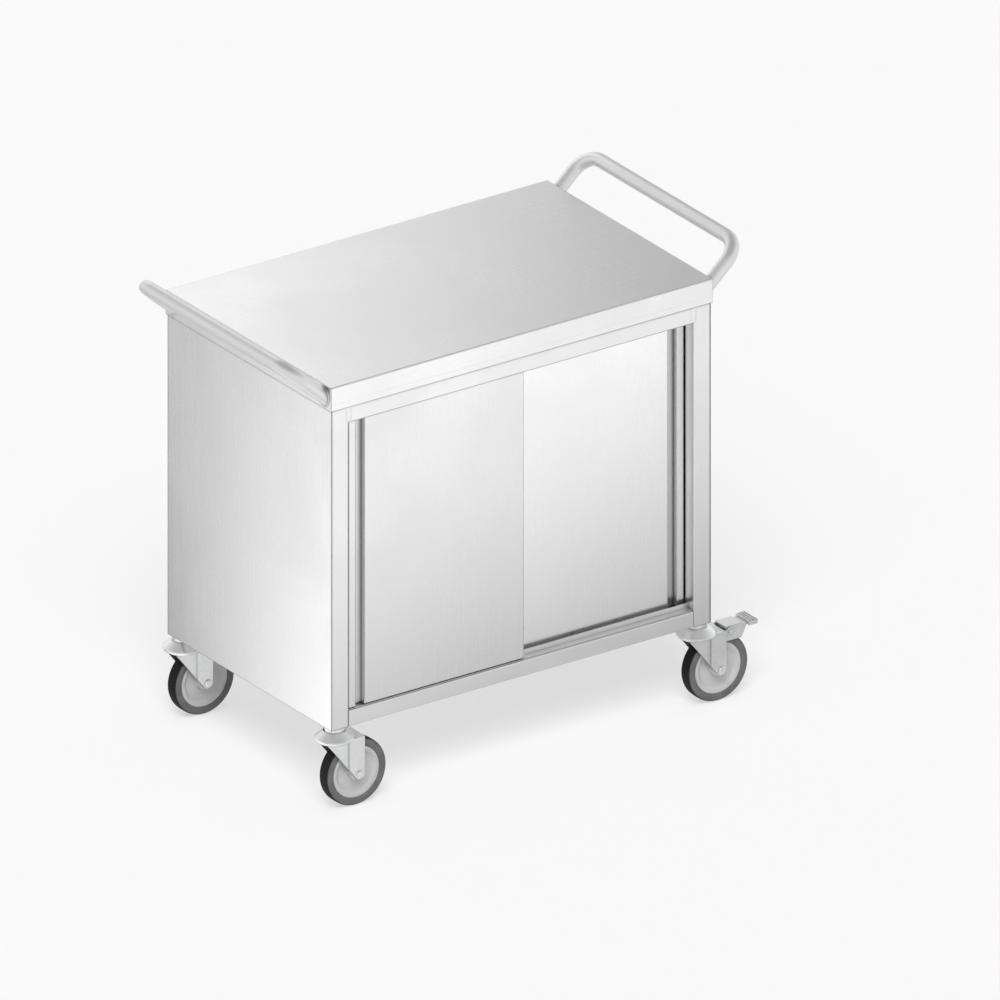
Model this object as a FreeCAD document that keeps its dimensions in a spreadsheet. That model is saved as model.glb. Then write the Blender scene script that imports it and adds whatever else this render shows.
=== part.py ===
import FreeCAD, Part
import math
import os
import Sketcher

# Stainless cabinet trolley: worktop, cabinet with two sliding doors, two handles, four castors.
# Lengths in mm. +X to the right, the front faces -Y, +Z up, the origin on the floor.

doc = FreeCAD.newDocument("cabinet_trolley")
sheet = doc.addObject("Spreadsheet::Sheet", "Sizes")

SIZES = {
    # worktop
    "top_length": 800.0,
    "top_width": 500.0,
    "body_height": 650.0,
    "skirt_height": 45.0,
    "top_sheet": 1.2,
    "hem_height": 12.0,
    "top_edge_radius": 2.0,
    "core_height": 18.0,
    "core_gap": 0.5,
    "overhang": 3.0,
    # cabinet frame
    "post_side": 35.0,
    "tube_wall": 1.5,
    "tube_radius": 2.0,
    "rail_height": 30.0,
    "rail_width": 25.0,
    "lip_height": 30.0,
    "rail_lip_back": 15.0,
    # panels, floor and shelf
    "panel_sheet": 1.0,
    "tray_sheet": 1.2,
    "tray_gap": 0.5,
    "floor_flange": 28.0,
    "shelf_flange": 25.0,
    "shelf_rise": 300.0,
    "shelf_setback": 64.0,
    "angle_leg": 20.0,
    "angle_sheet": 1.5,
    "angle_length": 360.0,
    # sliding doors
    "door_thickness": 20.0,
    "door_sheet": 1.0,
    "door_setback": 3.0,
    "door_gap": 4.0,
    "door_side_gap": 2.0,
    "door_overlap": 16.0,
    "door_rail_gap": 3.0,
    "door_lip_lap": 10.0,
    "door_return": 12.0,
    "pull_margin": 15.0,
    "pull_width": 18.0,
    "pull_depth": 10.0,
    "flange_recess": 12.0,
    "sheet_gap": 0.2,
    # door gear
    "track_sheet": 1.5,
    "track_margin": 7.0,
    "track_front_gap": 0.5,
    "ledge_front": 4.0,
    "web_offset": 13.0,
    "ledge_rise": 18.5,
    "roller_diameter": 18.0,
    "roller_flange": 22.0,
    "roller_lift": 0.3,
    "roller_start": 1.4,
    "roller_flange_width": 1.4,
    "roller_width": 8.4,
    "roller_axle": 5.0,
    "running_gap": 0.08,
    "hanger_width": 40.0,
    "hanger_sheet": 2.0,
    "hanger_foot": 10.0,
    "hanger_inset": 70.0,
    "hanger_head": 10.0,
    "rivet_head": 9.0,
    "rivet_head_height": 1.6,
    "rivet_tail": 1.0,
    "guide_rib": 2.0,
    "guide_offset": 4.5,
    "guide_rib_height": 9.0,
    "guide_height": 10.0,
    "guide_slot_gap": 0.5,
    "guide_roof_gap": 1.5,
    "guide_length": 40.0,
    "buffer_diameter": 7.0,
    "buffer_height": 1.6,
    "buffer_spread": 200.0,
    "buffer_inset": 4.0,
    # handles
    "handle_tube": 25.0,
    "handle_wall": 1.5,
    "handle_reach": 70.0,
    "handle_rise": 63.0,
    "handle_drop": 23.0,
    "handle_inset": 20.0,
    "handle_bend": 40.0,
    # castors
    "wheel_diameter": 125.0,
    "castor_head": 30.0,
    "tyre_width": 26.0,
    "tyre_height": 15.0,
    "tyre_shoulder": 5.0,
    "tyre_bead": 1.5,
    "tyre_bulge": 4.0,
    "castor_trail": 38.0,
    "collar_diameter": 35.0,
    "stem_diameter": 12.0,
    "stem_length": 48.0,
    "expander_height": 40.0,
    "expander_gap": 0.3,
    "kingpin_diameter": 10.0,
    "kingpin_head": 20.0,
    "kingpin_head_height": 3.5,
    "dome_diameter": 70.0,
    "dome_height": 15.0,
    "dome_sheet": 2.5,
    "dome_shoulder": 20.0,
    "ball_diameter": 7.0,
    "ball_ring": 24.0,
    "swivel_gap": 0.3,
    "fork_sheet": 3.0,
    "fork_gap": 4.0,
    "fork_crown": 32.0,
    "fork_front": 24.0,
    "fork_end": 10.0,
    "fork_face": 6.0,
    "fork_fold": 22.0,
    "fork_fold_depth": 3.0,
    "wheel_clearance": 4.5,
    "axle_diameter": 10.0,
    "axle_head": 14.0,
    "axle_head_height": 3.5,
    "axle_fit": 0.1,
    "bush_wall": 2.0,
    "hub_diameter": 28.0,
    "hub_gap": 1.0,
    "hub_draft": 2.0,
    "disc_half": 6.5,
    "rim_half": 10.8,
    "rim_land": 6.0,
    # brake pedals
    "pedal_pin_ahead": 20.0,
    "pedal_pin_rise": 4.0,
    "pedal_pin_diameter": 6.0,
    "pedal_pin_head": 10.0,
    "pedal_pin_head_height": 2.0,
    "pedal_ear": 7.0,
    "pedal_sheet": 2.0,
    "pedal_side_gap": 1.0,
    "pedal_roof": 8.5,
    "pedal_back": 7.0,
    "pedal_arm": 26.0,
    "pedal_taper": 12.0,
    "pedal_skirt": 19.0,
    "pedal_beyond": 14.5,
    "pedal_foot": 18.0,
    "pedal_foot_width": 40.0,
    "pedal_foot_lip": 7.5,
    "pedal_neck_drop": 3.0,
    "pedal_rib": 2.0,
    "pedal_rib_height": 1.0,
    "shoe_gap": 6.0,
    "shoe_start": 26.0,
    "shoe_end": 42.0,
    "shoe_width": 20.0,
}


class Dim:
    """A size that follows the sheet: the expression that gives it, and its value now."""

    def __init__(self, text, value):
        self.text = text
        self.value = value

    def __add__(self, other):
        other = as_dim(other)
        return Dim(f"({self.text} + {other.text})", self.value + other.value)

    def __radd__(self, other):
        return as_dim(other) + self

    def __sub__(self, other):
        other = as_dim(other)
        return Dim(f"({self.text} - {other.text})", self.value - other.value)

    def __rsub__(self, other):
        return as_dim(other) - self

    def __mul__(self, number):
        return Dim(f"({self.text} * {number})", self.value * number)

    __rmul__ = __mul__

    def __truediv__(self, number):
        return Dim(f"({self.text} / {number})", self.value / number)

    def __neg__(self):
        return self * -1


def as_dim(size):
    """A plain number as a Dim; a Dim as it is."""
    if isinstance(size, Dim):
        return size
    return Dim(f"{size}", float(size))


class SheetSizes:
    """The sheet's aliases, each as a Dim attribute."""


s = SheetSizes()
for row, (alias, value) in enumerate(SIZES.items(), start=1):
    sheet.set(f"A{row}", alias)
    sheet.set(f"B{row}", str(value))
    sheet.setAlias(f"B{row}", alias)
    setattr(s, alias, Dim(f"Sizes.{alias}", value))
doc.recompute()

sub_parts = []


# Drawing helpers

def bind(thing, prop, size):
    """Tie one property of a document object to the sheet."""
    thing.setExpression(prop, as_dim(size).text)


def place(thing, x=0, y=0, z=0):
    """Put a document object at a point given by sheet sizes."""
    for axis, size in (("x", x), ("y", y), ("z", z)):
        if as_dim(size).value:
            bind(thing, f".Placement.Base.{axis}", size)


def hand_in(thing, label):
    """Name a finished sub-part and list it for export."""
    thing.Label = label
    sub_parts.append(thing)
    return thing


def body_named(label):
    """A new body, listed for export under its label."""
    return hand_in(doc.addObject("PartDesign::Body", label), label)


def loose_body(name):
    """A new body that only serves as one piece of a group."""
    return doc.addObject("PartDesign::Body", name)


def box(name, x_span, y_span, z_span):
    """A Part box between two sheet sizes on each axis."""
    block = doc.addObject("Part::Box", name)
    for prop, span in (("Length", x_span), ("Width", y_span), ("Height", z_span)):
        bind(block, prop, as_dim(span[1]) - span[0])
    place(block, x_span[0], y_span[0], z_span[0])
    return block


def group(label, pieces):
    """Separate solids that share one node."""
    bunch = doc.addObject("Part::Compound", label)
    bunch.Links = pieces
    return hand_in(bunch, label)


def sketch_on(body, plane, offset=0):
    """A sketch on one of the body's base planes, moved along the plane's normal."""
    sketch = body.newObject("Sketcher::SketchObject", f"{body.Name}_sketch")
    base = [item for item in body.Origin.OriginFeatures if item.Role == f"{plane}_Plane"][0]
    sketch.AttachmentSupport = [(base, "")]
    sketch.MapMode = "FlatFace"
    if as_dim(offset).value:
        bind(sketch, ".AttachmentOffset.Base.z", offset)
    return sketch


def limit(sketch, kind, first, size):
    """A dimension in a sketch that follows the sheet."""
    index = sketch.addConstraint(Sketcher.Constraint(kind, *first, as_dim(size).value))
    bind(sketch, f"Constraints[{index}]", size)


def pin_point(sketch, curve, end, x, y):
    """Hold one point of a sketch curve at sheet sizes from the sketch origin."""
    for kind, axis, size in (("DistanceX", -2, x), ("DistanceY", -1, y)):
        if as_dim(size).value:
            limit(sketch, kind, (-1, 1, curve, end), size)
        else:
            sketch.addConstraint(Sketcher.Constraint("PointOnObject", curve, end, axis))


def polygon(sketch, corners):
    """A closed outline of straight lines through the given corners."""
    start = sketch.GeometryCount
    points = [FreeCAD.Vector(as_dim(x).value, as_dim(y).value, 0) for x, y in corners]
    count = len(points)
    for i in range(count):
        sketch.addGeometry(Part.LineSegment(points[i], points[(i + 1) % count]), False)
    for i in range(count):
        ends = (start + i, 2, start + (i + 1) % count, 1)
        sketch.addConstraint(Sketcher.Constraint("Coincident", *ends))
    for i, (x, y) in enumerate(corners):
        pin_point(sketch, start + i, 1, x, y)


def rectangle(sketch, x_span, y_span):
    """A rectangle between two sheet sizes on each sketch axis."""
    (x0, x1), (y0, y1) = x_span, y_span
    polygon(sketch, [(x0, y0), (x1, y0), (x1, y1), (x0, y1)])


def circle(sketch, x, y, radius):
    """A circle held by its centre and radius."""
    centre = FreeCAD.Vector(as_dim(x).value, as_dim(y).value, 0)
    ring = Part.Circle(centre, FreeCAD.Vector(0, 0, 1), as_dim(radius).value)
    index = sketch.addGeometry(ring, False)
    pin_point(sketch, index, 3, x, y)
    limit(sketch, "Radius", (index,), radius)


def pad(body, sketch, length, both_sides=False):
    """Material from a sketch along its normal, or to both sides of it."""
    feature = body.newObject("PartDesign::Pad", f"{body.Name}_pad")
    feature.Profile = sketch
    feature.SideType = "Symmetric" if both_sides else "One side"
    bind(feature, "Length", length)
    return feature


def pocket(body, sketch, length, both_sides=False, upward=False):
    """A cut from a sketch against its normal, along it, or to both sides of it."""
    feature = body.newObject("PartDesign::Pocket", f"{body.Name}_pocket")
    feature.Profile = sketch
    feature.SideType = "Symmetric" if both_sides else "One side"
    feature.Reversed = upward
    bind(feature, "Length", length)
    return feature


def turn(body, sketch):
    """A full revolution of a sketch about its own vertical axis."""
    feature = body.newObject("PartDesign::Revolution", f"{body.Name}_turn")
    feature.Profile = sketch
    feature.ReferenceAxis = (sketch, ["V_Axis"])
    feature.Angle = 360
    return feature


def round_edges(body, radius, wanted):
    """Fillet the edges of the body's last feature that the test picks."""
    doc.recompute()
    base = body.Tip
    names = [f"Edge{i}" for i, edge in enumerate(base.Shape.Edges, start=1) if wanted(edge)]
    feature = body.newObject("PartDesign::Fillet", f"{body.Name}_fillet")
    feature.Base = (base, names)
    bind(feature, "Radius", radius)
    return feature


def runs_along(edge, axis):
    """True for a straight edge along one axis."""
    if edge.Curve.TypeId != "Part::GeomLine":
        return False
    return abs(getattr(edge.Curve.Direction, axis)) > 0.999


def near(a, b):
    """True for two lengths that are the same."""
    return abs(a - b) < 1e-4


# Shared levels and faces

body_bottom = s.wheel_diameter + s.castor_head
top_level = body_bottom + s.body_height
shelf_level = body_bottom + s.shelf_rise
skirt_bottom = top_level - s.skirt_height
frame_top = top_level - s.top_sheet - s.core_height
front_face = -(s.top_width / 2 - s.overhang)
back_face = -front_face
post_back = back_face - s.panel_sheet
side_face = s.top_length / 2 - s.overhang
post_face = side_face - s.panel_sheet
opening_half = post_face - s.post_side
post_x = post_face - s.post_side / 2
front_post_y = front_face + s.post_side / 2
rear_post_y = post_back - s.post_side / 2
rail_top = body_bottom + s.rail_height
lip_bottom = skirt_bottom - s.lip_height
track_depth = s.door_setback + 2 * s.door_thickness + s.door_gap + s.track_margin
track_back = front_face + track_depth

door_width = opening_half - s.door_side_gap + s.door_overlap / 2
door_bottom = rail_top + s.door_rail_gap
door_top = lip_bottom + s.door_lip_lap
door_height = door_top - door_bottom
front_door_y = front_face + s.door_setback
rear_door_y = front_door_y + s.door_thickness + s.door_gap
guide_roof = rail_top + s.track_sheet + s.guide_rib_height + s.guide_roof_gap
ledge_top = door_top + s.ledge_rise
roller_level = ledge_top + s.roller_lift + s.roller_diameter / 2


# Worktop: one sheet folded down all round, its lower edge hemmed double

def build_worktop():
    worktop = body_named("worktop")
    half_x = s.top_length / 2
    half_y = s.top_width / 2
    block = sketch_on(worktop, "XY", skirt_bottom)
    rectangle(block, (-half_x, half_x), (-half_y, half_y))
    pad(worktop, block, s.skirt_height)

    def outer_fold(edge):
        on_top = all(near(point.Z, top_level.value) for point in edge.Vertexes)
        return on_top or runs_along(edge, "z")

    round_edges(worktop, s.top_edge_radius, outer_fold)
    hem = s.top_sheet * 2
    mouth = sketch_on(worktop, "XY", skirt_bottom)
    rectangle(mouth, (-half_x + hem, half_x - hem), (-half_y + hem, half_y - hem))
    pocket(worktop, mouth, s.hem_height, upward=True)
    inside = sketch_on(worktop, "XY", skirt_bottom + s.hem_height)
    wall = s.top_sheet
    rectangle(inside, (-half_x + wall, half_x - wall), (-half_y + wall, half_y - wall))
    pocket(worktop, inside, s.skirt_height - s.hem_height - s.top_sheet, upward=True)


# Worktop core: the stiffening board under the skin

def build_core():
    edge = s.top_sheet + s.core_gap
    half_x = s.top_length / 2 - edge
    half_y = s.top_width / 2 - edge
    levels = (frame_top, top_level - s.top_sheet)
    hand_in(box("worktop_core", (-half_x, half_x), (-half_y, half_y), levels), "worktop_core")


# Posts: four upright square tubes

def build_post(label, x, y):
    post = body_named(label)
    half = s.post_side / 2
    bore = half - s.tube_wall
    section = sketch_on(post, "XY", body_bottom)
    rectangle(section, (x - half, x + half), (y - half, y + half))
    rectangle(section, (x - bore, x + bore), (y - bore, y + bore))
    pad(post, section, frame_top - body_bottom)

    def outer_corner(edge):
        aside = abs(edge.Vertexes[0].X - x.value)
        return runs_along(edge, "z") and near(aside, half.value)

    round_edges(post, s.tube_radius, outer_corner)


def build_posts():
    build_post("front_left_post", -post_x, front_post_y)
    build_post("front_right_post", post_x, front_post_y)
    build_post("rear_left_post", -post_x, rear_post_y)
    build_post("rear_right_post", post_x, rear_post_y)


# Frame rails: a folded lip rail and a box rail in front, square tubes at the back and sides

def build_front_rails():
    lip = body_named("front_top_rail")
    wall = s.tube_wall
    fold = frame_top - wall
    profile = sketch_on(lip, "YZ", -opening_half)
    polygon(profile, [
        (front_face, lip_bottom),
        (front_face + wall, lip_bottom),
        (front_face + wall, fold),
        (track_back - wall, fold),
        (track_back - wall, frame_top - s.rail_lip_back),
        (track_back, frame_top - s.rail_lip_back),
        (track_back, frame_top),
        (front_face, frame_top),
    ])
    pad(lip, profile, 2 * opening_half)

    sill = body_named("front_bottom_rail")
    section = sketch_on(sill, "YZ", -opening_half)
    rectangle(section, (front_face, track_back), (body_bottom, rail_top))
    bore_y = (front_face + wall, track_back - wall)
    rectangle(section, bore_y, (body_bottom + wall, rail_top - wall))
    pad(sill, section, 2 * opening_half)
    round_edges(sill, s.tube_radius, lambda edge: runs_along(edge, "x") and outer_of_sill(edge))


def outer_of_sill(edge):
    """True for the four outer edges of the bottom rail."""
    y, z = edge.Vertexes[0].Y, edge.Vertexes[0].Z
    on_y = near(y, front_face.value) or near(y, track_back.value)
    return on_y and (near(z, body_bottom.value) or near(z, rail_top.value))


def build_top_rails():
    wall = s.tube_wall
    low = frame_top - s.rail_height
    rear = body_named("rear_top_rail")
    section = sketch_on(rear, "YZ", -opening_half)
    rectangle(section, (post_back - s.rail_width, post_back), (low, frame_top))
    bore_y = (post_back - s.rail_width + wall, post_back - wall)
    rectangle(section, bore_y, (low + wall, frame_top - wall))
    pad(rear, section, 2 * opening_half)

    span = post_back - front_face - 2 * s.post_side
    for label, side in (("left_top_rail", -1), ("right_top_rail", 1)):
        rail = body_named(label)
        outer = post_face * side
        inner = (post_face - s.rail_width) * side
        section = sketch_on(rail, "XZ", -(post_back - s.post_side))
        rectangle(section, (outer, inner), (low, frame_top))
        rectangle(section, (outer - wall * side, inner + wall * side), (low + wall, frame_top - wall))
        pad(rail, section, span)


# Panels: flat sheets that close the sides and the back

def build_panels():
    top = frame_top - s.panel_sheet
    levels = (body_bottom, top)
    for label, side in (("left_side_panel", -1), ("right_side_panel", 1)):
        faces = sorted((post_face * side, side_face * side), key=lambda size: size.value)
        hand_in(box(label, faces, (front_face, post_back), levels), label)
    back = box("back_panel", (-side_face, side_face), (post_back, back_face), levels)
    hand_in(back, "back_panel")


# Floor and shelf: folded trays with edges turned down, notched round the rear posts

def build_tray(label, level, flange, front):
    tray = body_named(label)
    half = post_face - s.tray_gap
    back = post_back - s.tray_gap
    notch_x = opening_half - s.tray_gap
    notch_y = post_back - s.post_side - s.tray_gap
    wall = s.tray_sheet

    def outline(inset):
        side, near_post = half - inset, notch_x - inset
        rear, step = back - inset, notch_y - inset
        return [
            (-side, front + inset),
            (side, front + inset),
            (side, step),
            (near_post, step),
            (near_post, rear),
            (-near_post, rear),
            (-near_post, step),
            (-side, step),
        ]

    sheet_outline = sketch_on(tray, "XY", level - flange)
    polygon(sheet_outline, outline(as_dim(0)))
    pad(tray, sheet_outline, flange)
    hollow = sketch_on(tray, "XY", level - flange)
    polygon(hollow, outline(wall))
    pocket(tray, hollow, flange - wall, upward=True)


def build_trays():
    build_tray("cabinet_floor", rail_top, s.floor_flange, track_back + s.tray_gap)
    build_tray("middle_shelf", shelf_level, s.shelf_flange, front_face + s.shelf_setback)
    pieces = []
    top = shelf_level - s.shelf_flange
    middle = (front_face + s.shelf_setback + post_back - s.post_side) / 2
    for side in (-1, 1):
        angle = loose_body("shelf_angle")
        leg, wall = s.angle_leg * side, s.angle_sheet * side
        wall_face = post_face * side
        section = sketch_on(angle, "XZ", -(middle + s.angle_length / 2))
        polygon(section, [
            (wall_face, top),
            (wall_face - leg, top),
            (wall_face - leg, top - s.angle_sheet),
            (wall_face - wall, top - s.angle_sheet),
            (wall_face - wall, top - s.angle_leg),
            (wall_face, top - s.angle_leg),
        ])
        pad(angle, section, s.angle_length)
        pieces.append(angle)
    group("shelf_angles", pieces)


# Door tracks: a two-channel top track and a ribbed guide strip on the bottom rail

def build_tracks():
    t = s.track_sheet
    roof = frame_top - s.tube_wall
    front_centre = front_door_y + s.door_thickness / 2
    rear_centre = rear_door_y + s.door_thickness / 2
    under = roof - t
    ledge_low = ledge_top - t
    start = front_face + s.tube_wall + s.track_front_gap
    track = body_named("door_top_track")
    profile = sketch_on(track, "YZ", -opening_half)
    corners = [(start, roof), (rear_centre + s.web_offset + t, roof)]
    for centre, web_foot in ((rear_centre, None), (front_centre, under)):
        if web_foot is not None:
            corners.append((centre + s.web_offset + t, web_foot))
        corners += [
            (centre + s.web_offset + t, ledge_low),
            (centre + s.ledge_front, ledge_low),
            (centre + s.ledge_front, ledge_top),
            (centre + s.web_offset, ledge_top),
            (centre + s.web_offset, under),
        ]
    corners.append((start, under))
    polygon(profile, corners)
    pad(track, profile, 2 * opening_half)

    rib = s.guide_rib / 2
    floor = rail_top + t
    edge = s.door_setback
    strips = [((front_face + edge, track_back - edge), (rail_top, floor))]
    for centre in (front_centre, rear_centre):
        line = centre + s.guide_offset
        strips.append(((line - rib, line + rib), (floor, floor + s.guide_rib_height)))
    pieces = []
    for y_span, z_span in strips:
        strip = loose_body("guide_strip")
        profile = sketch_on(strip, "YZ", -opening_half)
        rectangle(profile, y_span, z_span)
        pad(strip, profile, 2 * opening_half)
        pieces.append(strip)
    group("door_bottom_track", pieces)


# Sliding doors: a folded front skin with a finger pull, a back pan, hangers, rollers and guides

def build_door(name, side, face):
    outer = (opening_half - s.door_side_gap) * side

    def across(distance):
        """A point on the door, measured from its outer edge towards its inner edge."""
        return outer - as_dim(distance) * side

    build_door_front(name, across, face)
    build_door_back(name, across, face, side)
    centre = face + s.door_thickness / 2
    spots = [across(s.hanger_inset), across(door_width - s.hanger_inset)]
    build_hangers(name, spots, centre)
    build_guides(name, spots, centre)
    for number, x in enumerate(spots, start=1):
        build_roller(f"{name}_roller_{number}", x, centre)


def build_door_front(name, across, face):
    """Two folded skins beside the finger pull, and the strip welded behind them as its floor."""
    t = s.door_sheet
    back = s.door_thickness
    pull_start = s.pull_margin
    pull_end = pull_start + s.pull_width
    depth = s.pull_depth
    rib_line = face + back / 2 + s.guide_offset
    notch_half = s.guide_rib / 2 + s.guide_slot_gap
    edge_fold = [
        (s.door_return, back),
        (0, back),
        (0, 0),
        (pull_start, 0),
        (pull_start, depth),
        (pull_start - t, depth),
        (pull_start - t, t),
        (t, t),
        (t, back - t),
        (s.door_return, back - t),
    ]
    main_fold = [
        (pull_end, depth),
        (pull_end, 0),
        (door_width, 0),
        (door_width, back),
        (door_width - s.door_return, back),
        (door_width - s.door_return, back - t),
        (door_width - t, back - t),
        (door_width - t, t),
        (pull_end + t, t),
        (pull_end + t, depth),
    ]
    pieces = []
    for fold, start, end in ((edge_fold, 0, pull_start), (main_fold, pull_end, door_width)):
        skin = loose_body(f"{name}_skin")
        section = sketch_on(skin, "XY", door_bottom)
        polygon(section, [(across(u), face + v) for u, v in fold])
        pad(skin, section, door_height)
        notch = sketch_on(skin, "YZ", across(pull_start))
        rectangle(notch, (rib_line - notch_half, rib_line + notch_half),
                  (door_bottom - s.door_rail_gap, guide_roof))
        pocket(skin, notch, door_width * 2, both_sides=True)
        sides = [across(start).value, across(end).value]

        def front_corner(edge):
            point = edge.Vertexes[0]
            on_side = near(point.X, sides[0]) or near(point.X, sides[1])
            return runs_along(edge, "z") and on_side and near(point.Y, face.value)

        round_edges(skin, s.door_sheet * 0.8, front_corner)
        pieces.append(skin)
    strip = loose_body(f"{name}_pull_floor")
    section = sketch_on(strip, "XY", door_bottom)
    x_span = sorted((across(pull_start - t), across(pull_end + t)), key=lambda size: size.value)
    rectangle(section, x_span, (face + depth, face + depth + t))
    pad(strip, section, door_height)
    pieces.append(strip)
    group(f"{name}_front", pieces)


def build_door_back(name, across, face, side):
    t = s.door_sheet
    gap = s.sheet_gap
    rear = face + s.door_thickness - t
    clear = s.pull_margin + s.pull_width + 2 * t

    def span(start, end):
        return sorted((across(start), across(end)), key=lambda size: size.value)

    web_span = span(t + gap, door_width - t - gap)
    flange_span = span(clear, door_width - t - gap)
    flange_y = (face + t + gap, rear)
    web = box(f"{name}_web", web_span, (rear - t, rear), (door_bottom, door_top))
    top = box(f"{name}_top_flange", flange_span, flange_y, (door_top - t, door_top))
    low = door_bottom + s.flange_recess
    bottom = box(f"{name}_bottom_flange", flange_span, flange_y, (low, low + t))
    pan = doc.addObject("Part::MultiFuse", f"{name}_back")
    pan.Shapes = [web, top, bottom]
    pan.Refine = True
    hand_in(pan, f"{name}_back")


def build_hangers(name, spots, centre):
    """Two bent plates on the door's top flange, each with the riveted axle of one roller."""
    pieces = []
    half = s.hanger_sheet / 2
    foot_top = door_top + s.hanger_sheet
    head = roller_level + s.hanger_head
    bore = s.roller_axle / 2
    for x in spots:
        plate = loose_body(f"{name}_hanger")
        section = sketch_on(plate, "YZ", x - s.hanger_width / 2)
        polygon(section, [
            (centre + half, door_top),
            (centre + half, head),
            (centre - half, head),
            (centre - half, foot_top),
            (centre + half - s.hanger_foot, foot_top),
            (centre + half - s.hanger_foot, door_top),
        ])
        pad(plate, section, s.hanger_width)
        hole = sketch_on(plate, "XZ", -centre)
        circle(hole, x, roller_level, bore + s.axle_fit)
        pocket(plate, hole, s.hanger_sheet * 2, both_sides=True)

        rivet = loose_body(f"{name}_rivet")
        outer = s.rivet_head / 2
        end = s.hanger_sheet / 2 + s.roller_start + s.roller_width + s.swivel_gap
        shape = sketch_on(rivet, "XY")
        polygon(shape, [
            (0, -half - s.rivet_head_height),
            (outer, -half - s.rivet_head_height),
            (outer, -half),
            (bore, -half),
            (bore, end),
            (outer - s.rivet_tail, end),
            (outer - s.rivet_tail, end + s.rivet_tail),
            (0, end + s.rivet_tail),
        ])
        turn(rivet, shape)
        place(rivet, x, centre, roller_level)
        pieces += [plate, rivet]
    group(f"{name}_hangers", pieces)


def build_roller(label, x, centre):
    """A flanged nylon roller that runs on the track ledge."""
    roller = body_named(label)
    bore = s.roller_axle / 2 + s.running_gap
    start = s.hanger_sheet / 2 + s.roller_start - s.swivel_gap
    flange_end = start + s.roller_flange_width
    end = s.hanger_sheet / 2 + s.roller_start + s.roller_width
    shape = sketch_on(roller, "XY")
    polygon(shape, [
        (bore, start),
        (s.roller_flange / 2, start),
        (s.roller_flange / 2, flange_end),
        (s.roller_diameter / 2, flange_end),
        (s.roller_diameter / 2, end),
        (bore, end),
    ])
    turn(roller, shape)
    place(roller, x, centre, roller_level)


def build_guides(name, spots, centre):
    """Two nylon shoes under the door, each slotted over the rib of the bottom track."""
    pieces = []
    roof = door_bottom + s.flange_recess
    foot = roof - s.guide_height
    half = s.door_thickness / 2 - 2 * s.door_sheet - s.guide_slot_gap
    line = centre + s.guide_offset
    slot = s.guide_rib / 2 + s.guide_slot_gap
    for x in spots:
        shoe = loose_body(f"{name}_guide")
        section = sketch_on(shoe, "YZ", x - s.guide_length / 2)
        polygon(section, [
            (centre - half, foot),
            (line - slot, foot),
            (line - slot, guide_roof),
            (line + slot, guide_roof),
            (line + slot, foot),
            (centre + half, foot),
            (centre + half, roof),
            (centre - half, roof),
        ])
        pad(shoe, section, s.guide_length)
        pieces.append(shoe)
    group(f"{name}_guides", pieces)


def build_doors():
    build_door("left_door", -1, front_door_y)
    build_door("right_door", 1, rear_door_y)


# Door buffers: small rubber dots on the posts where the outer edges of the closed doors land

def build_buffers():
    dots = []
    middle = (door_bottom + door_top) / 2
    for side, face in ((-1, front_door_y), (1, rear_door_y)):
        for rise in (-1, 1):
            dot = doc.addObject("Part::Cylinder", "door_buffer")
            bind(dot, "Radius", s.buffer_diameter / 2)
            bind(dot, "Height", s.buffer_height)
            dot.Placement.Rotation = FreeCAD.Rotation(FreeCAD.Vector(0, 1, 0), -90 * side)
            place(dot, opening_half * side, face + s.buffer_inset, middle + s.buffer_spread * rise)
            dots.append(dot)
    group("door_buffers", dots)


# Handles: one bent tube at each end, welded to the end skirt and rising outward

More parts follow.
